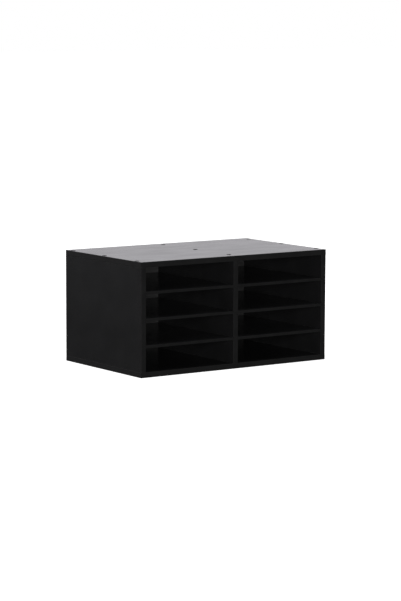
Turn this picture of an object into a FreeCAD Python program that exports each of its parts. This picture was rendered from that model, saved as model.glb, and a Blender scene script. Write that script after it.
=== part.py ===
import FreeCAD, Part
import os

import Sketcher

# A desk sorter with two columns of four flat letter-size compartments.
# A case of 12 mm boards, two sides and a divider between a bottom and a top, is held together
# by countersunk screws. Their heads stand a little proud of the top and are sunk in the
# bottom. A thin back sits in a groove round the case. Six thin shelves lie in grooves in the
# sides and the divider, and each can be drawn out of the open front.
# The frame: +X to the right, +Y to the back, +Z up, with the origin on the floor, centred
# under the case. Each piece keeps its own local Y = 0 on the plane of the case's front.

# Driving sizes, in millimetres.
SIZES = {
    "case_width": 495.0,
    "case_depth": 305.0,
    "case_height": 249.0,
    "board_thickness": 12.0,
    "edging_thickness": 1.0,
    "edging_corner_radius": 0.5,
    "shelf_thickness": 6.0,
    "shelf_groove_depth": 4.0,
    "shelf_groove_play": 0.3,
    "shelf_end_play": 0.3,
    "shelf_rear_play": 1.0,
    "back_thickness": 3.0,
    "back_inset": 6.0,
    "back_groove_depth": 4.0,
    "back_groove_play": 0.2,
    "back_edge_play": 0.5,
    "screw_front_inset": 27.0,
    "screw_rear_inset": 20.0,
    "screw_inboard_offset": 1.0,
    "screw_length": 40.0,
    "screw_tip_length": 5.0,
    "screw_shank_diameter": 5.0,
    "screw_head_diameter": 10.0,
    "screw_head_rim": 0.3,
    "screw_head_rise": 0.3,
    "screw_head_sink": 0.2,
    "screw_hole_play": 0.2,
    "pilot_extra_depth": 2.0,
    "drive_span": 5.0,
    "drive_slot": 1.2,
    "drive_depth": 1.8,
}

COUNTERSINK_DEGREES = 90
SHELF_LEVELS = ("lower", "middle", "upper")
ORIGIN = "0"
TOLERANCE = 1e-6

# Sketcher's own numbers for the points of a line or circle, and for a sketch's origin.
START, END, CENTRE = 1, 2, 3
SKETCH_ORIGIN = (-1, 1)

# Sizes worked out from the driving ones, as expressions on the sheet.
COMPARTMENTS = len(SHELF_LEVELS) + 1
HALF_WIDTH = "Sizes.case_width / 2"
HALF_BOARD = "Sizes.board_thickness / 2"
INNER_HEIGHT = "(Sizes.case_height - 2 * Sizes.board_thickness)"
SHELF_PITCH = f"(({INNER_HEIGHT} + Sizes.shelf_thickness) / {COMPARTMENTS})"
FIRST_SHELF = f"({SHELF_PITCH} - Sizes.shelf_thickness)"
COLUMN_WIDTH = "((Sizes.case_width - 3 * Sizes.board_thickness) / 2)"
COLUMN_CENTRE = f"({COLUMN_WIDTH} + Sizes.board_thickness) / 2"
SIDE_CENTRE = f"({HALF_WIDTH} - {HALF_BOARD})"
BACK_FRONT = "(Sizes.case_depth - Sizes.back_inset - Sizes.back_thickness)"
BACK_GROOVE_REAR = f"{BACK_FRONT} + Sizes.back_thickness + Sizes.back_groove_play"
HALF_SHELF = f"({COLUMN_WIDTH} / 2 + Sizes.shelf_groove_depth - Sizes.shelf_end_play)"
SHELF_REAR = f"{BACK_FRONT} - Sizes.shelf_rear_play"
SCREW_HOLE = "Sizes.screw_shank_diameter + Sizes.screw_hole_play"
SCREW_REAR_ROW = "(Sizes.case_depth - Sizes.screw_rear_inset)"
SCREW_ROWS = (
    "Sizes.screw_front_inset",
    f"(Sizes.screw_front_inset + {SCREW_REAR_ROW}) / 2",
    SCREW_REAR_ROW,
)
SIDE_SCREW_LINE = f"({SIDE_CENTRE} - Sizes.screw_inboard_offset)"
SCREW_COLUMNS = {"left": f"-{SIDE_SCREW_LINE}", "centre": ORIGIN, "right": SIDE_SCREW_LINE}
# How far the heads stand out of the top's face, and out of the bottom's, where they are sunk.
HEAD_RISE = {"top": "Sizes.screw_head_rise", "bottom": "-Sizes.screw_head_sink"}

doc = FreeCAD.newDocument("DeskSorter")
sheet = doc.addObject("Spreadsheet::Sheet", "Sizes")
for row, (alias, value) in enumerate(SIZES.items(), start=1):
    sheet.set(f"A{row}", alias)
    sheet.set(f"B{row}", str(value))
    sheet.setAlias(f"B{row}", alias)
doc.recompute()

nodes = []


# ---- building blocks ----


def new_body(label):
    body = doc.addObject("PartDesign::Body", label)
    body.Label = label
    return body


def new_node(label):
    """A body that is written out under its own name."""
    body = new_body(label)
    nodes.append(body)
    return body


def origin_feature(body, role):
    return next(item for item in body.Origin.OriginFeatures if item.Role == role)


def place(body, across, depth, height, turn=None):
    """Stand a body at an X, a distance back from the case's front, and a Z."""
    if turn:
        body.Placement.Rotation = turn
    body.setExpression("Placement.Base.x", across)
    body.setExpression("Placement.Base.y", f"{depth} - Sizes.case_depth / 2")
    body.setExpression("Placement.Base.z", height)


def new_sketch(body, name, role, raised=None):
    """A sketch on one of the body's own planes, or raised from it along its normal."""
    sketch = body.newObject("Sketcher::SketchObject", name)
    sketch.AttachmentSupport = (origin_feature(body, role), [""])
    sketch.MapMode = "FlatFace"
    if raised:
        sketch.setExpression("AttachmentOffset.Base.z", raised)
    return sketch


def pin_point(sketch, geometry, point, across, along):
    """Hold a sketch point at two expressions, measured from the sketch's origin."""
    for kind, expression in (("DistanceX", across), ("DistanceY", along)):
        constraint = Sketcher.Constraint(kind, *SKETCH_ORIGIN, geometry, point, 1.0)
        index = sketch.addConstraint(constraint)
        name = f"{kind}_{geometry}"
        sketch.renameConstraint(index, name)
        sketch.setExpression(f"Constraints.{name}", expression)


def draw_outline(sketch, points):
    """A closed outline of straight lines, its corners given as expressions. Each corner is
    drawn at a rough place of its own, and the constraints then move it to its real one."""
    first = sketch.GeometryCount
    count = len(points)
    for index in range(count):
        start = FreeCAD.Vector(index, index * index, 0)
        following = (index + 1) % count
        end = FreeCAD.Vector(following, following * following, 0)
        sketch.addGeometry(Part.LineSegment(start, end))
    for index in range(count):
        following = first + (index + 1) % count
        joint = Sketcher.Constraint("Coincident", first + index, END, following, START)
        sketch.addConstraint(joint)
    for index, (across, along) in enumerate(points):
        pin_point(sketch, first + index, START, across, along)


def draw_rectangle(sketch, left, right, low, high):
    draw_outline(sketch, [(left, low), (right, low), (right, high), (left, high)])


def draw_circle(sketch, across, along, diameter):
    centre = FreeCAD.Vector(1, 1, 0)
    geometry = sketch.addGeometry(Part.Circle(centre, FreeCAD.Vector(0, 0, 1), 1))
    index = sketch.addConstraint(Sketcher.Constraint("Diameter", geometry, 2.0))
    name = f"Diameter_{geometry}"
    sketch.renameConstraint(index, name)
    sketch.setExpression(f"Constraints.{name}", diameter)
    pin_point(sketch, geometry, CENTRE, across, along)


def pad(body, name, profile, length, reverse=False):
    feature = body.newObject("PartDesign::Pad", name)
    feature.Profile = profile
    feature.Reversed = reverse
    feature.setExpression("Length", length)
    return feature


def pocket(body, name, profile, depth=None, reverse=False):
    """Cut a profile to a depth, or right through where none is given."""
    feature = body.newObject("PartDesign::Pocket", name)
    feature.Profile = profile
    feature.Reversed = reverse
    if depth:
        feature.Type = "Length"
        feature.setExpression("Length", depth)
    else:
        feature.Type = "ThroughAll"
    return feature


def repeat_up_the_shelves(body, name, cut):
    """Repeat a cut at every shelf level."""
    pattern = body.newObject("PartDesign::LinearPattern", name)
    pattern.Originals = [cut]
    pattern.Direction = (origin_feature(body, "Z_Axis"), [""])
    pattern.Mode = "Spacing"
    pattern.Occurrences = len(SHELF_LEVELS)
    pattern.setExpression("Offset", SHELF_PITCH)
    body.Tip = pattern
    return pattern


def draw_shelf_slot(sketch, face):
    """The lowest shelf's slot, as deep on the open side of the face as in the wood."""
    draw_rectangle(
        sketch,
        f"{face} - Sizes.shelf_groove_depth",
        f"{face} + Sizes.shelf_groove_depth",
        FIRST_SHELF,
        f"{FIRST_SHELF} + Sizes.shelf_thickness + Sizes.shelf_groove_play",
    )


# ---- case boards ----


def horizontal_panel(label, height, is_top):
    """The top or the bottom. Local Z = 0 is the face towards the compartments."""
    body = new_node(label)
    outline = new_sketch(body, f"{label}_outline", "XY_Plane")
    half_core = f"({HALF_WIDTH} - Sizes.edging_thickness)"
    draw_rectangle(outline, f"-{half_core}", half_core, "Sizes.edging_thickness", "Sizes.case_depth")
    pad(body, f"{label}_board", outline, "Sizes.board_thickness", reverse=not is_top)

    groove = new_sketch(body, f"{label}_back_groove_outline", "XY_Plane")
    draw_rectangle(groove, f"-{HALF_WIDTH}", HALF_WIDTH, BACK_FRONT, BACK_GROOVE_REAR)
    pocket(body, f"{label}_back_groove", groove, "Sizes.back_groove_depth", reverse=is_top)

    outer_face = "Sizes.board_thickness" if is_top else "-Sizes.board_thickness"
    holes = new_sketch(body, f"{label}_hole_centres", "XY_Plane", raised=outer_face)
    for column in SCREW_COLUMNS.values():
        for row in SCREW_ROWS:
            draw_circle(holes, column, row, SCREW_HOLE)
    place(body, ORIGIN, ORIGIN, height)
    doc.recompute()
    drilled = body.newObject("PartDesign::Hole", f"{label}_screw_holes")
    drilled.Profile = holes
    drilled.Reversed = not is_top
    drilled.ThreadType = "None"
    drilled.DepthType = "ThroughAll"
    drilled.HoleCutType = "Countersink"
    drilled.HoleCutCustomValues = True
    drilled.HoleCutCountersinkAngle = COUNTERSINK_DEGREES
    drilled.setExpression("Diameter", SCREW_HOLE)
    rise = HEAD_RISE["top" if is_top else "bottom"]
    head_room = f"2 * (Sizes.screw_head_rim - ({rise})) + Sizes.screw_hole_play"
    drilled.setExpression("HoleCutDiameter", f"Sizes.screw_head_diameter + {head_room}")


def upright_panel(label, centre, grooved_faces, rear, takes_back, screw_line):
    """A side or the divider. Local X = 0 is its mid plane and local Z = 0 its lower end."""
    body = new_node(label)
    outline = new_sketch(body, f"{label}_outline", "XY_Plane")
    draw_rectangle(outline, f"-{HALF_BOARD}", HALF_BOARD, "Sizes.edging_thickness", rear)
    pad(body, f"{label}_board", outline, INNER_HEIGHT)

    shelf_slot = new_sketch(body, f"{label}_shelf_groove_outline", "XZ_Plane")
    for face in grooved_faces:
        draw_shelf_slot(shelf_slot, face)
    shelf_groove = pocket(body, f"{label}_shelf_groove", shelf_slot, BACK_FRONT)
    repeat_up_the_shelves(body, f"{label}_shelf_grooves", shelf_groove)

    if takes_back:
        back_slot = new_sketch(body, f"{label}_back_groove_outline", "XY_Plane")
        for face in grooved_faces:
            left = f"{face} - Sizes.back_groove_depth"
            right = f"{face} + Sizes.back_groove_depth"
            draw_rectangle(back_slot, left, right, BACK_FRONT, BACK_GROOVE_REAR)
        pocket(body, f"{label}_back_groove", back_slot, reverse=True)

    for end, raised in (("lower", None), ("upper", INNER_HEIGHT)):
        centres = new_sketch(body, f"{label}_{end}_pilot_centres", "XY_Plane", raised=raised)
        for row in SCREW_ROWS:
            draw_circle(centres, f"{screw_line} - ({centre})", row, SCREW_HOLE)
        depth = "Sizes.screw_length - Sizes.board_thickness + Sizes.pilot_extra_depth"
        pocket(body, f"{label}_{end}_pilot_holes", centres, depth, reverse=raised is None)
    place(body, centre, ORIGIN, "Sizes.board_thickness")


def back_panel():
    """The thin back, held in a groove round the case. It closes both columns."""
    body = new_node("back_panel")
    reach = "Sizes.board_thickness - Sizes.back_groove_depth + Sizes.back_edge_play"
    half_back = f"({HALF_WIDTH} - ({reach}))"
    outline = new_sketch(body, "back_panel_outline", "XZ_Plane")
    draw_rectangle(outline, f"-{half_back}", half_back, reach, f"Sizes.case_height - ({reach})")
    pad(body, "back_panel_board", outline, "Sizes.back_thickness", reverse=True)
    place(body, ORIGIN, BACK_FRONT, ORIGIN)


# ---- shelves ----


def shelf(label, centre, height):
    """A thin board whose two ends lie in the grooves, stopping just short of the back."""
    body = new_node(label)
    outline = new_sketch(body, f"{label}_outline", "XY_Plane")
    draw_rectangle(outline, f"-{HALF_SHELF}", HALF_SHELF, "Sizes.edging_thickness", SHELF_REAR)
    pad(body, f"{label}_board", outline, "Sizes.shelf_thickness")
    place(body, centre, ORIGIN, height)


# ---- edging ----


def edging(label, half_length, width, upright=False, slotted_faces=()):
    """A plastic strip over a cut edge. Its outer face is at local Y = 0 and its long outer
    corners are rounded. A flat strip runs along local X, and an upright one along local Z,
    with a slot at each shelf on the slotted faces."""
    body = new_node(label)
    outline = new_sketch(body, f"{label}_outline", "XZ_Plane")
    draw_rectangle(outline, f"-{half_length}", half_length, ORIGIN, width)
    strip = pad(body, f"{label}_strip", outline, "Sizes.edging_thickness", reverse=True)
    doc.recompute()
    rounded = body.newObject("PartDesign::Fillet", f"{label}_corners")
    rounded.Base = (strip, long_outer_edges(strip.Shape, upright))
    rounded.setExpression("Radius", "Sizes.edging_corner_radius")
    if slotted_faces:
        slot = new_sketch(body, f"{label}_slot_outline", "XZ_Plane")
        for face in slotted_faces:
            draw_shelf_slot(slot, face)
        cut = pocket(body, f"{label}_slot", slot)
        repeat_up_the_shelves(body, f"{label}_slots", cut)
    return body


def long_outer_edges(shape, upright):
    """The names of the two edges along the strip on its outer face."""
    along = FreeCAD.Vector(0, 0, 1) if upright else FreeCAD.Vector(1, 0, 0)
    names = []
    for index, edge in enumerate(shape.Edges, start=1):
        ends = [vertex.Point for vertex in edge.Vertexes]
        on_outer_face = max(abs(point.y) for point in ends) < TOLERANCE
        is_parallel = (ends[1] - ends[0]).cross(along).Length < TOLERANCE
        if on_outer_face and is_parallel:
            names.append(f"Edge{index}")
    return names


def panel_edging(panel, height):
    """The front strip of the top or bottom runs the full width, and covers the ends of the
    two strips at its sides."""
    front = edging(f"{panel}_front_edging", HALF_WIDTH, "Sizes.board_thickness")
    place(front, ORIGIN, ORIGIN, height)
    half_length = "(Sizes.case_depth - Sizes.edging_thickness) / 2"
    middle = f"Sizes.edging_thickness + {half_length}"
    for side, across, degrees in (("left", f"-{HALF_WIDTH}", -90), ("right", HALF_WIDTH, 90)):
        strip = edging(f"{panel}_{side}_edging", half_length, "Sizes.board_thickness")
        turn = FreeCAD.Rotation(FreeCAD.Vector(0, 0, 1), degrees)
        place(strip, across, middle, height, turn)


def upright_edging(label, centre, slotted_faces):
    strip = edging(label, HALF_BOARD, INNER_HEIGHT, upright=True, slotted_faces=slotted_faces)
    place(strip, centre, ORIGIN, "Sizes.board_thickness")


def shelf_edging(label, centre, height):
    strip = edging(label, HALF_SHELF, "Sizes.shelf_thickness")
    place(strip, centre, ORIGIN, height)


# ---- screws ----


def screw(label):
    """A countersunk wood screw. Local Z = 0 is the top of its head, and it points down."""
    body = new_body(label)
    head = "Sizes.screw_head_diameter / 2"
    shank = "Sizes.screw_shank_diameter / 2"
    profile = new_sketch(body, f"{label}_profile", "XZ_Plane")
    points = [
        (ORIGIN, ORIGIN),
        (head, ORIGIN),
        (head, "-Sizes.screw_head_rim"),
        (shank, f"{shank} - {head} - Sizes.screw_head_rim"),
        (shank, "Sizes.screw_tip_length - Sizes.screw_length"),
        (ORIGIN, "-Sizes.screw_length"),
    ]
    draw_outline(profile, points)
    turned = body.newObject("PartDesign::Revolution", f"{label}_turned")
    turned.Profile = profile
    turned.ReferenceAxis = (origin_feature(body, "Z_Axis"), [""])
    turned.Angle = 360

    arm = "Sizes.drive_span / 2"
    slot = "Sizes.drive_slot / 2"
    quarter = [(arm, slot), (slot, slot), (slot, arm)]
    cross = list(quarter)
    for _ in range(3):
        quarter = [(f"-({along})", across) for across, along in quarter]
        cross += quarter
    drive = new_sketch(body, f"{label}_drive_outline", "XY_Plane")
    draw_outline(drive, cross)
    pocket(body, f"{label}_drive", drive, "Sizes.drive_depth")
    return body


def screw_group(end, column, across):
    """The three screws that hold one upright to the top or the bottom."""
    label = f"{end}_{column}_screws"
    screws = []
    for number, row in enumerate(SCREW_ROWS, start=1):
        single = screw(f"{label}_{number}")
        if end == "top":
            place(single, across, row, f"Sizes.case_height + {HEAD_RISE[end]}")
        else:
            upside_down = FreeCAD.Rotation(FreeCAD.Vector(1, 0, 0), 180)
            place(single, across, row, f"-({HEAD_RISE[end]})", upside_down)
        screws.append(single)
    group = doc.addObject("Part::Compound", label)
    group.Label = label
    group.Links = screws
    nodes.append(group)


# ---- the whole sorter ----

TOP_HEIGHT = "Sizes.case_height - Sizes.board_thickness"
LEFT_FACE = f"-{HALF_BOARD}"
RIGHT_FACE = HALF_BOARD

horizontal_panel("bottom_panel", "Sizes.board_thickness", is_top=False)
horizontal_panel("top_panel", TOP_HEIGHT, is_top=True)
panel_edging("bottom", ORIGIN)
panel_edging("top", TOP_HEIGHT)
back_panel()

SIDES = (
    ("left", f"-{SIDE_CENTRE}", RIGHT_FACE),
    ("right", SIDE_CENTRE, LEFT_FACE),
)
for side, centre, inner_face in SIDES:
    line = SCREW_COLUMNS[side]
    upright_panel(f"{side}_side_panel", centre, (inner_face,), "Sizes.case_depth", True, line)
    upright_edging(f"{side}_side_edging", centre, (inner_face,))
BOTH_FACES = (LEFT_FACE, RIGHT_FACE)
upright_panel("centre_divider", ORIGIN, BOTH_FACES, BACK_FRONT, False, SCREW_COLUMNS["centre"])
upright_edging("centre_divider_edging", ORIGIN, BOTH_FACES)

for column, centre in (("left", f"-{COLUMN_CENTRE}"), ("right", COLUMN_CENTRE)):
    for level, level_name in enumerate(SHELF_LEVELS):
        height = f"Sizes.board_thickness + {FIRST_SHELF} + {level} * {SHELF_PITCH}"
        shelf(f"{column}_{level_name}_shelf", centre, height)
        shelf_edging(f"{column}_{level_name}_shelf_edging", centre, height)

for end in ("top", "bottom"):
    for column, across in SCREW_COLUMNS.items():
        screw_group(end, column, across)

# ---- checks and files ----

doc.recompute()
for item in doc.Objects:
    if "Invalid" in item.State or "Error" in item.State:
        raise RuntimeError(f"{item.Label} failed: {item.State}")
for node in nodes:
    if node.Shape.isNull() or not node.Shape.isValid() or not node.Shape.Solids:
        raise RuntimeError(f"{node.Label} has no valid solid")

os.makedirs("parts", exist_ok=True)
for node in nodes:
    node.Shape.exportStep(f"parts/{node.Label}.step")
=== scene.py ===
"""Looks of the eight-compartment desk sorter: finishes, floor, studio light and camera."""

import math

import bpy
from mathutils import Matrix, Vector


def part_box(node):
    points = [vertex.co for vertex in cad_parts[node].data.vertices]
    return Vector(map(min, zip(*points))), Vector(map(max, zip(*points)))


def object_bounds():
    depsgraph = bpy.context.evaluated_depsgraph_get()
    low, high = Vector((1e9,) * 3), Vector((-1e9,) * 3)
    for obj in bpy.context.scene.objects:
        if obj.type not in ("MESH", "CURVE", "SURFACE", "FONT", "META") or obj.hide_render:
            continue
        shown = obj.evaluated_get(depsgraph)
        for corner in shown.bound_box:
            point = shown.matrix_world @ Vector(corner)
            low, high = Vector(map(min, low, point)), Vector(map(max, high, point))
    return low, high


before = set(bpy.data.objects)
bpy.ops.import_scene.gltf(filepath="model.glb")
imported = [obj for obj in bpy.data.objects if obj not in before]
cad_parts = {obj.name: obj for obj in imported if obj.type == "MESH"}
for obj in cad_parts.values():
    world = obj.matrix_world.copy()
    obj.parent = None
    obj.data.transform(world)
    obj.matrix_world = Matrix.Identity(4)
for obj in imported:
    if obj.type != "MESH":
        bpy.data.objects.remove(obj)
CAD_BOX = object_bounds()
MM = 0.001

# ---- the view ------------------------------------------------------------------------------

CAMERA_PLACE = (-2.96217, -4.27289, 0.78947)
CAMERA_YAW = 34.8405       # degrees from +Y towards +X
CAMERA_PITCH = 7.1803      # degrees down
CAMERA_ROLL = 0.1982
CAMERA_LENS = 140.2        # millimetres on the usual 36 mm sensor
CAMERA_REACH = 80.0

# ---- the studio ----------------------------------------------------------------------------

PAPER_WHITE = (1.0, 1.0, 1.0, 1.0)

FLOOR_HALF_SIZE = 30.0
FLOOR_PALE = (0.93, 0.93, 0.935, 1.0)
FLOOR_CLOUDS = {"size": 0.7, "detail": 3.0}
FLOOR_ROUGHNESS = 0.9
FLOOR_BUMP = 0.1 * MM
FLOOR_GLOW = 0.76          # keeps the floor white right up to the case, as on a light table

REAR_WAY = (0.53, 0.85, 0.0)     # towards the white wall behind the case
REAR_SKY = (0.905, 0.89, 0.93, 1.0)
FRONT_SKY = (0.16, 0.16, 0.163, 1.0)
SKY_TURN = (0.1, 1.0)            # how far along REAR_WAY the front's tone turns to the rear's

SIDE_WAY = (0.82, 0.57, 0.0)     # the line along which the ground is pale, both ways
SIDE_GROUND = (0.55, 0.55, 0.56, 1.0)
DARK_GROUND = (0.04, 0.04, 0.041, 1.0)
GROUND_TURN = (0.2, 1.0)         # how far along SIDE_WAY the dark tone turns to the pale one

HORIZON = (-0.16, 0.05)          # the upward part of a direction, where the ground turns to sky

OVERHEAD_LIGHT = {
    "place": (0.3, 0.2, 2.6),
    "aim": (0.0, 0.0, 0.0),
    "width": 3.0,
    "height": 3.0,
    "watts": 50.0,
}
FRONT_LIGHT = {
    "place": (-2.0, -3.35, 0.55),
    "aim": (0.0, 0.0, 0.12),
    "width": 1.4,
    "height": 1.0,
    "watts": 115.0,
}

# ---- places in the model that the finishes follow -------------------------------------------

CASE_REAR = CAD_BOX[1].y
BACK_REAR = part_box("back_panel")[1].y
FACE_SKIN = 0.2 * MM       # how far from a plane still counts as on it

# ---- the part of a pattern's values, from 0 to 1, that a finish spreads out -------------------

TONE_SPAN = (0.35, 0.65)
SHEEN_SPAN = (0.3, 0.7)
CHIP_SPAN = (0.25, 0.75)
RUB_SPAN = (0.42, 0.66)

# ---- chips, and worn edges with a painted edge highlight -------------------------------------

CHIP_RAGGEDNESS = 2.0      # how many times finer than the chips the noise on their outlines is
RUB_DETAIL = 5.0
EDGE_SAMPLES = 4
EDGE_SPAN = (0.985, 0.80)  # how far the rounded normal agrees with the face's: flat, then edge

# ---- numbers of a Mix node's sockets, whose names repeat for each kind of data ---------------

MIX_AMOUNT = 0
NUMBER_MIX = {"first": 2, "second": 3, "result": 0}
COLOUR_MIX = {"first": 6, "second": 7, "result": 2}


class Nodes:
    """A node tree, with short calls for the nodes that the finishes and the studio share."""

    def __init__(self, tree):
        self.tree = tree

    def node(self, kind, **settings):
        made = self.tree.nodes.new(kind)
        for name, value in settings.items():
            setattr(made, name, value)
        return made

    def feed(self, socket, value):
        """Sets a socket to a number or colour, or links it to another node's output."""
        if isinstance(value, bpy.types.NodeSocket):
            self.tree.links.new(value, socket)
        else:
            socket.default_value = value

    def feed_all(self, made, values):
        """Feeds a node's sockets in their order, as far as the values go."""
        for socket, value in zip(made.inputs, values):
            self.feed(socket, value)

    def spread(self, value, span, to=(0.0, 1.0), curve="LINEAR"):
        """Maps one span of numbers to another and stops at both ends."""
        made = self.node("ShaderNodeMapRange", clamp=True, interpolation_type=curve)
        self.feed(made.inputs["Value"], value)
        made.inputs["From Min"].default_value, made.inputs["From Max"].default_value = span
        made.inputs["To Min"].default_value, made.inputs["To Max"].default_value = to
        return made.outputs["Result"]

    def calculate(self, operation, *values):
        made = self.node("ShaderNodeMath", operation=operation)
        self.feed_all(made, values)
        return made.outputs["Value"]

    def agreement(self, first, second):
        """How far two directions agree: 1 the same way, -1 opposite ways."""
        made = self.node("ShaderNodeVectorMath", operation="DOT_PRODUCT")
        self.feed_all(made, (first, second))
        return made.outputs["Value"]

    def along(self, vector, axis):
        """A vector's part along an axis, X, Y or Z."""
        made = self.node("ShaderNodeSeparateXYZ")
        self.feed(made.inputs["Vector"], vector)
        return made.outputs[axis]

    def mix(self, data_type, sockets, amount, first, second):
        made = self.node("ShaderNodeMix", data_type=data_type)
        self.feed(made.inputs[MIX_AMOUNT], amount)
        self.feed(made.inputs[sockets["first"]], first)
        self.feed(made.inputs[sockets["second"]], second)
        return made.outputs[sockets["result"]]

    def blend(self, amount, first, second):
        """A number between first and second."""
        return self.mix("FLOAT", NUMBER_MIX, amount, first, second)

    def tint(self, amount, first, second):
        """A colour between first and second."""
        return self.mix("RGBA", COLOUR_MIX, amount, first, second)


class Finish(Nodes):
    """A material, with the patterns that the object's surfaces are made of."""

    def __init__(self, name):
        self.material = bpy.data.materials.new(name)
        self.material.use_nodes = True
        super().__init__(self.material.node_tree)
        self.surface = self.tree.nodes["Principled BSDF"]
        self.place = self.node("ShaderNodeTexCoord").outputs["Object"]

    def noise(self, size, detail=3.0, stretch=(1.0, 1.0, 1.0)):
        """Soft random patches about size metres across, from 0 to 1. Along an axis whose stretch
        is under 1 they are drawn out."""
        mapping = self.node("ShaderNodeMapping", vector_type="POINT")
        self.feed(mapping.inputs["Vector"], self.place)
        mapping.inputs["Scale"].default_value = stretch
        noise = self.node("ShaderNodeTexNoise")
        self.feed(noise.inputs["Vector"], mapping.outputs["Vector"])
        noise.inputs["Scale"].default_value = 1.0 / size
        noise.inputs["Detail"].default_value = detail
        return noise.outputs["Fac"]

    def chips(self, size):
        """Flat chips about size metres across, with ragged outlines, each a number of its own."""
        ragged = self.node("ShaderNodeTexNoise")
        self.feed(ragged.inputs["Vector"], self.place)
        ragged.inputs["Scale"].default_value = CHIP_RAGGEDNESS / size
        shift = self.node("ShaderNodeVectorMath", operation="MULTIPLY_ADD")
        self.feed_all(shift, (ragged.outputs["Color"], (size, size, size), self.place))
        cells = self.node("ShaderNodeTexVoronoi")
        self.feed(cells.inputs["Vector"], shift.outputs["Vector"])
        cells.inputs["Scale"].default_value = 1.0 / size
        tone = self.node("ShaderNodeSeparateColor")
        self.feed(tone.inputs["Color"], cells.outputs["Color"])
        return tone.outputs["Red"]

    def behind(self, plane):
        """1 on the faces that lie on a plane of constant Y or behind it, 0 on the others."""
        return self.calculate("GREATER_THAN", self.along(self.place, "Y"), plane - FACE_SKIN)

    def worn_and_highlit_edges(self, radius, patch):
        """1 on the piece's own edges in rubbed patches, 0 on its faces. The boards and edging are
        painted paler there: wear, and a painted edge highlight.
        """
        rounded = self.node("ShaderNodeBevel", samples=EDGE_SAMPLES)
        rounded.inputs["Radius"].default_value = radius
        face = self.node("ShaderNodeNewGeometry")
        turn = self.agreement(rounded.outputs["Normal"], face.outputs["Normal"])
        edge = self.spread(turn, EDGE_SPAN)
        rubbed = self.spread(self.noise(patch, detail=RUB_DETAIL), RUB_SPAN)
        return self.calculate("MULTIPLY", edge, rubbed)

    def raise_from(self, height, distance, under=None):
        """Bump: a height from 0 to 1 stands for that many metres."""
        bump = self.node("ShaderNodeBump")
        bump.inputs["Strength"].default_value = 1.0
        bump.inputs["Distance"].default_value = distance
        self.feed(bump.inputs["Height"], height)
        if under is not None:
            self.feed(bump.inputs["Normal"], under)
        return bump.outputs["Normal"]

    def finish(self, colour, roughness, normal, specular=0.5):
        self.feed(self.surface.inputs["Base Color"], colour)
        self.feed(self.surface.inputs["Roughness"], roughness)
        self.feed(self.surface.inputs["Normal"], normal)
        self.surface.inputs["Specular IOR Level"].default_value = specular
        return self.material


def grey(level, blue=1.0):
    """A neutral colour, with its blue part scaled."""
    return (level, level, level * blue, 1.0)


# ---- melamine: the case's boards and the shelves ---------------------------------------------

MELAMINE_BLUE = 1.03                  # its black is a touch cold
MELAMINE_CLOUDS = {"size": 60 * MM, "detail": 4.0}
MELAMINE_SMEARS = {"size": 34 * MM, "detail": 3.0, "stretch": (0.45, 1.0, 1.6)}
MELAMINE_ROUGHNESS = (0.225, 0.26)
MELAMINE_WAVES = {"size": 60 * MM, "detail": 1.0}
MELAMINE_WAVE_HEIGHT = 0.03 * MM
MELAMINE_PEBBLE_HEIGHT = 0.012 * MM
# the rubbed edges are painted paler: wear, and a painted edge highlight
MELAMINE_WEAR_AND_HIGHLIGHT = {"radius": 0.9 * MM, "patch": 14 * MM}
RUBBED_AND_HIGHLIT_MELAMINE = grey(0.055)
RUBBED_MELAMINE_ROUGHNESS = 0.6

BOARD_PEBBLES = {"size": 1.6 * MM, "detail": 2.0}
BOARD_TONES = (0.0085, 0.0115)
SHELF_PEBBLES = {"size": 1.3 * MM, "detail": 2.0}
# paler than the boards' tones: painted light that lifts the shade inside the compartments
SHELF_TONES_WITH_PAINTED_LIGHT = (0.016, 0.020)

CHIP_SIZE = 1.7 * MM
CHIP_GRAIN = {"size": 0.7 * MM, "detail": 4.0}
CHIP_GRAIN_SHARE = 0.4
DARK_CHIP = grey(0.011)
PALE_CHIP = (0.035, 0.029, 0.024, 1.0)
CHIP_ROUGHNESS = 0.85
CHIP_DEPTH = 0.12 * MM


def melamine(name, tones, pebbles):
    """Satin black melamine: fine pebbled skin, cloudy sheen, and rubbed edges painted paler as
    wear and a painted edge highlight.
    """
    skin = Finish(name)
    dark, light = tones
    clouds = skin.spread(skin.noise(**MELAMINE_CLOUDS), TONE_SPAN)
    colour = skin.tint(clouds, grey(dark, MELAMINE_BLUE), grey(light, MELAMINE_BLUE))
    wear_and_highlight = skin.worn_and_highlit_edges(**MELAMINE_WEAR_AND_HIGHLIGHT)
    # painted edge highlight and wear: the edges turn paler
    colour = skin.tint(wear_and_highlight, colour, RUBBED_AND_HIGHLIT_MELAMINE)
    roughness = skin.spread(skin.noise(**MELAMINE_SMEARS), SHEEN_SPAN, to=MELAMINE_ROUGHNESS)
    roughness = skin.blend(wear_and_highlight, roughness, RUBBED_MELAMINE_ROUGHNESS)
    waves = skin.raise_from(skin.noise(**MELAMINE_WAVES), MELAMINE_WAVE_HEIGHT)
    normal = skin.raise_from(skin.noise(**pebbles), MELAMINE_PEBBLE_HEIGHT, under=waves)
    return skin, colour, roughness, normal


def case_board():
    """The case's boards. Their rear edges have no edging: there the chips show, stained black."""
    skin, colour, roughness, normal = melamine("case_board_melamine", BOARD_TONES, BOARD_PEBBLES)
    rear = skin.behind(CASE_REAR)
    shade = skin.blend(CHIP_GRAIN_SHARE, skin.chips(CHIP_SIZE), skin.noise(**CHIP_GRAIN))
    chipped = skin.tint(skin.spread(shade, CHIP_SPAN), DARK_CHIP, PALE_CHIP)
    colour = skin.tint(rear, colour, chipped)
    roughness = skin.blend(rear, roughness, CHIP_ROUGHNESS)
    pits = skin.calculate("MULTIPLY", shade, rear)
    normal = skin.raise_from(pits, CHIP_DEPTH, under=normal)
    return skin.finish(colour, roughness, normal)


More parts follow.
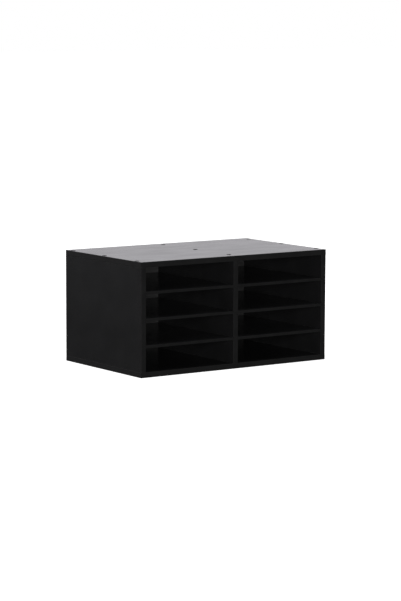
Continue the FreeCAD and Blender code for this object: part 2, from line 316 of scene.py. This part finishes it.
def shelf_board():
    """The shelves: the same skin with finer pebbles, painted slightly less black than the boards
    to lift the shade inside the compartments.
    """
    skin, colour, roughness, normal = melamine("shelf_board_melamine", SHELF_TONES_WITH_PAINTED_LIGHT, SHELF_PEBBLES)
    return skin.finish(colour, roughness, normal)


# ---- plastic edging on the boards' front edges and ends --------------------------------------

EDGING_PATCHES = {"size": 25 * MM, "detail": 4.0}
EDGING_DARKER = 0.85                  # the patches' tones, as shares of the edging's own
EDGING_LIGHTER = 1.2
EDGING_LINES = {"size": 1.5 * MM, "detail": 2.0, "stretch": (0.05, 1.0, 0.05)}
EDGING_LINE_DEPTH = 0.02 * MM
EDGING_PEBBLES = {"size": 0.9 * MM, "detail": 2.0}
EDGING_PEBBLE_HEIGHT = 0.02 * MM
# the rubbed corners are painted paler: wear, and a painted edge highlight
EDGING_WEAR_AND_HIGHLIGHT = {"radius": 0.7 * MM, "patch": 9 * MM}
RUBBED_AND_HIGHLIT_EDGING = grey(0.03)
RUBBED_EDGING_ROUGHNESS = 0.58

CASE_EDGING = {"tone": 0.0055, "roughness": (0.34, 0.46), "specular": 0.5}
SHELF_EDGING = {"tone": 0.0050, "roughness": (0.40, 0.52), "specular": 0.45}


def edging(name, tone, roughness, specular):
    """Black plastic edging, duller than the boards, with fine scrape lines, and rubbed corners
    painted paler as wear and a painted edge highlight.
    """
    skin = Finish(name)
    patches = skin.spread(skin.noise(**EDGING_PATCHES), TONE_SPAN)
    colour = skin.tint(patches, grey(tone * EDGING_DARKER), grey(tone * EDGING_LIGHTER))
    wear_and_highlight = skin.worn_and_highlit_edges(**EDGING_WEAR_AND_HIGHLIGHT)
    # painted edge highlight and wear: the corners turn paler
    colour = skin.tint(wear_and_highlight, colour, RUBBED_AND_HIGHLIT_EDGING)
    lines = skin.noise(**EDGING_LINES)
    roughness = skin.spread(lines, SHEEN_SPAN, to=roughness)
    roughness = skin.blend(wear_and_highlight, roughness, RUBBED_EDGING_ROUGHNESS)
    scrapes = skin.raise_from(lines, EDGING_LINE_DEPTH)
    pebbles = skin.noise(**EDGING_PEBBLES)
    normal = skin.raise_from(pebbles, EDGING_PEBBLE_HEIGHT, under=scrapes)
    return skin.finish(colour, roughness, normal, specular)


# ---- the thin back ---------------------------------------------------------------------------

FOIL_STREAKS = {"size": 6 * MM, "detail": 4.0, "stretch": (0.08, 1.0, 1.0)}
# paler than the boards: partly the foil's own grey, partly painted light bounced into the
# compartments
DARK_FOIL_AND_PAINTED_LIGHT = grey(0.030)
PALE_FOIL_AND_PAINTED_LIGHT = grey(0.048)
FOIL_ROUGHNESS = (0.32, 0.44)
RAW_FIBRES = {"size": 5 * MM, "detail": 6.0, "stretch": (1.0, 1.0, 0.4)}
DARK_FIBRE = (0.016, 0.014, 0.013, 1.0)
PALE_FIBRE = (0.040, 0.034, 0.030, 1.0)
RAW_ROUGHNESS = 0.78
SCREEN_PITCH = 1.6 * MM
SCREEN_DEPTH = 0.12 * MM
SINE_SPAN = (-1.0, 1.0)
BACK_GRAIN = {"size": 1.2 * MM}
BACK_GRAIN_HEIGHT = 0.02 * MM


def back_board():
    """The thin back: a smooth black foil inside, painted a paler grey partly as light bounced
    into the compartments, and the board's screen-marked rear outside.
    """
    skin = Finish("back_board_foil")
    outside = skin.behind(BACK_REAR)
    streaks = skin.noise(**FOIL_STREAKS)
    # the foil's grey is partly painted light bounced into the compartments
    foil_and_painted_light = skin.tint(skin.spread(streaks, TONE_SPAN), DARK_FOIL_AND_PAINTED_LIGHT, PALE_FOIL_AND_PAINTED_LIGHT)
    fibres = skin.spread(skin.noise(**RAW_FIBRES), SHEEN_SPAN)
    raw = skin.tint(fibres, DARK_FIBRE, PALE_FIBRE)
    colour = skin.tint(outside, foil_and_painted_light, raw)
    roughness = skin.spread(streaks, SHEEN_SPAN, to=FOIL_ROUGHNESS)
    roughness = skin.blend(outside, roughness, RAW_ROUGHNESS)
    screen = skin.calculate("MULTIPLY", screen_marks(skin), outside)
    normal = skin.raise_from(screen, SCREEN_DEPTH)
    normal = skin.raise_from(skin.noise(**BACK_GRAIN), BACK_GRAIN_HEIGHT, under=normal)
    return skin.finish(colour, roughness, normal)


def screen_marks(skin):
    """The mesh that hardboard's rear is pressed on: two crossed sets of fine ridges."""
    turn = 2.0 * math.pi / SCREEN_PITCH
    across = skin.calculate("SINE", skin.calculate("MULTIPLY", skin.along(skin.place, "X"), turn))
    upward = skin.calculate("SINE", skin.calculate("MULTIPLY", skin.along(skin.place, "Z"), turn))
    return skin.spread(skin.calculate("MULTIPLY", across, upward), SINE_SPAN)


# ---- the screws ------------------------------------------------------------------------------

COAT_PATCHES = {"size": 1.8 * MM, "detail": 4.0}
DARK_COAT = grey(0.004)
PALE_COAT = grey(0.008)
COAT_ROUGHNESS = (0.70, 0.85)
COAT_SPECULAR = 0.05
COAT_GRAIN = {"size": 0.35 * MM}
COAT_GRAIN_HEIGHT = 0.01 * MM
COAT_WEAR = {"radius": 0.35 * MM, "patch": 2.5 * MM}
RUBBED_STEEL = grey(0.12)
RUBBED_STEEL_ROUGHNESS = 0.42


def screw_black():
    """Black coated steel, dull, rubbed a little brighter on its edges."""
    skin = Finish("screw_black_coat")
    patches = skin.noise(**COAT_PATCHES)
    colour = skin.tint(skin.spread(patches, TONE_SPAN), DARK_COAT, PALE_COAT)
    wear_and_highlight = skin.worn_and_highlit_edges(**COAT_WEAR)
    colour = skin.tint(wear_and_highlight, colour, RUBBED_STEEL)
    roughness = skin.spread(patches, SHEEN_SPAN, to=COAT_ROUGHNESS)
    roughness = skin.blend(wear_and_highlight, roughness, RUBBED_STEEL_ROUGHNESS)
    grain = skin.raise_from(skin.noise(**COAT_GRAIN), COAT_GRAIN_HEIGHT)
    return skin.finish(colour, roughness, grain, COAT_SPECULAR)


def dress_nodes(finishes):
    """Gives each CAD node the finish that its name calls for."""
    for name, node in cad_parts.items():
        for slot in node.material_slots:
            slot.material = finishes[kind_of(name)]


def kind_of(name):
    if name.endswith("_screws"):
        return "screw"
    if name.endswith("_shelf_edging"):
        return "shelf_edging"
    if name.endswith("_edging"):
        return "case_edging"
    if name.endswith("_shelf"):
        return "shelf"
    if name == "back_panel":
        return "back"
    return "board"


# ---- floor, light and camera -----------------------------------------------------------------

def lay_floor():
    """A plain pale floor. Only the camera sees it, so it throws no glare on the black boards."""
    half = FLOOR_HALF_SIZE
    mesh = bpy.data.meshes.new("floor")
    corners = [(-half, -half, 0.0), (half, -half, 0.0), (half, half, 0.0), (-half, half, 0.0)]
    mesh.from_pydata(corners, [], [(0, 1, 2, 3)])
    mesh.materials.append(floor_finish())
    floor = bpy.data.objects.new("floor", mesh)
    bpy.context.scene.collection.objects.link(floor)
    floor.visible_glossy = False
    floor.visible_diffuse = False
    floor.visible_shadow = False


def floor_finish():
    """Pale paper that glows a little."""
    pale = Finish("floor_pale")
    clouds = pale.noise(**FLOOR_CLOUDS)
    colour = pale.tint(clouds, FLOOR_PALE, PAPER_WHITE)
    pale.surface.inputs["Emission Color"].default_value = PAPER_WHITE
    pale.surface.inputs["Emission Strength"].default_value = FLOOR_GLOW
    normal = pale.raise_from(clouds, FLOOR_BUMP)
    return pale.finish(colour, FLOOR_ROUGHNESS, normal, specular=0.0)


def light_world():
    """The studio round the object. It lights by direction, and the camera sees it plain white."""
    world = bpy.data.worlds.new("studio")
    world.use_nodes = True
    bpy.context.scene.world = world
    world.node_tree.nodes.clear()
    studio = Nodes(world.node_tree)
    to_camera = studio.node("ShaderNodeLightPath").outputs["Is Camera Ray"]
    lighting = background(studio, studio_tone(studio))
    seen = background(studio, PAPER_WHITE)
    either = studio.node("ShaderNodeMixShader")
    studio.feed_all(either, (to_camera, lighting, seen))
    output = studio.node("ShaderNodeOutputWorld")
    studio.feed(output.inputs["Surface"], either.outputs["Shader"])


def studio_tone(studio):
    """The light's colour by direction: a white wall behind the case and dim air in front of it,
    over a ground that is dark but for a pale stretch along SIDE_WAY, both ways."""
    direction = studio.node("ShaderNodeTexCoord").outputs["Generated"]
    to_side = studio.calculate("ABSOLUTE", studio.agreement(direction, SIDE_WAY))
    ground = turning(studio, to_side, GROUND_TURN, DARK_GROUND, SIDE_GROUND)
    to_rear = studio.agreement(direction, REAR_WAY)
    sky = turning(studio, to_rear, SKY_TURN, FRONT_SKY, REAR_SKY)
    return turning(studio, studio.along(direction, "Z"), HORIZON, ground, sky)


def turning(studio, value, span, first, second):
    """One colour below a span of values, turning smoothly to another above it."""
    return studio.tint(studio.spread(value, span, curve="SMOOTHSTEP"), first, second)


def background(studio, colour):
    made = studio.node("ShaderNodeBackground")
    studio.feed(made.inputs["Color"], colour)
    return made.outputs["Background"]


def soft_box(name, place, aim, width, height, watts):
    """A soft box: an area light at place that faces aim."""
    data = bpy.data.lights.new(name, "AREA")
    data.shape = "RECTANGLE"
    data.size = width
    data.size_y = height
    data.energy = watts
    box = bpy.data.objects.new(name, data)
    box.location = place
    box.rotation_mode = "QUATERNION"
    box.rotation_quaternion = (Vector(aim) - Vector(place)).to_track_quat("-Z", "Y")
    box.visible_camera = False
    box.visible_glossy = False
    bpy.context.scene.collection.objects.link(box)


def aim_camera():
    """The camera stands five metres off to the front left and looks slightly down."""
    data = bpy.data.cameras.new("camera")
    data.lens = CAMERA_LENS
    data.clip_end = CAMERA_REACH
    camera = bpy.data.objects.new("camera", data)
    camera.matrix_world = (
        Matrix.Translation(CAMERA_PLACE)
        @ Matrix.Rotation(math.radians(-CAMERA_YAW), 4, "Z")
        @ Matrix.Rotation(math.radians(90.0 - CAMERA_PITCH), 4, "X")
        @ Matrix.Rotation(math.radians(CAMERA_ROLL), 4, "Z")
    )
    bpy.context.scene.collection.objects.link(camera)
    bpy.context.scene.camera = camera


aim_camera()
lay_floor()
light_world()
soft_box("overhead_light", **OVERHEAD_LIGHT)
soft_box("front_light", **FRONT_LIGHT)
dress_nodes({
    "board": case_board(),
    "case_edging": edging("case_edging_plastic", **CASE_EDGING),
    "back": back_board(),
    "shelf": shelf_board(),
    "shelf_edging": edging("shelf_edging_plastic", **SHELF_EDGING),
    "screw": screw_black(),
})
bpy.context.scene.view_settings.view_transform = "Standard"
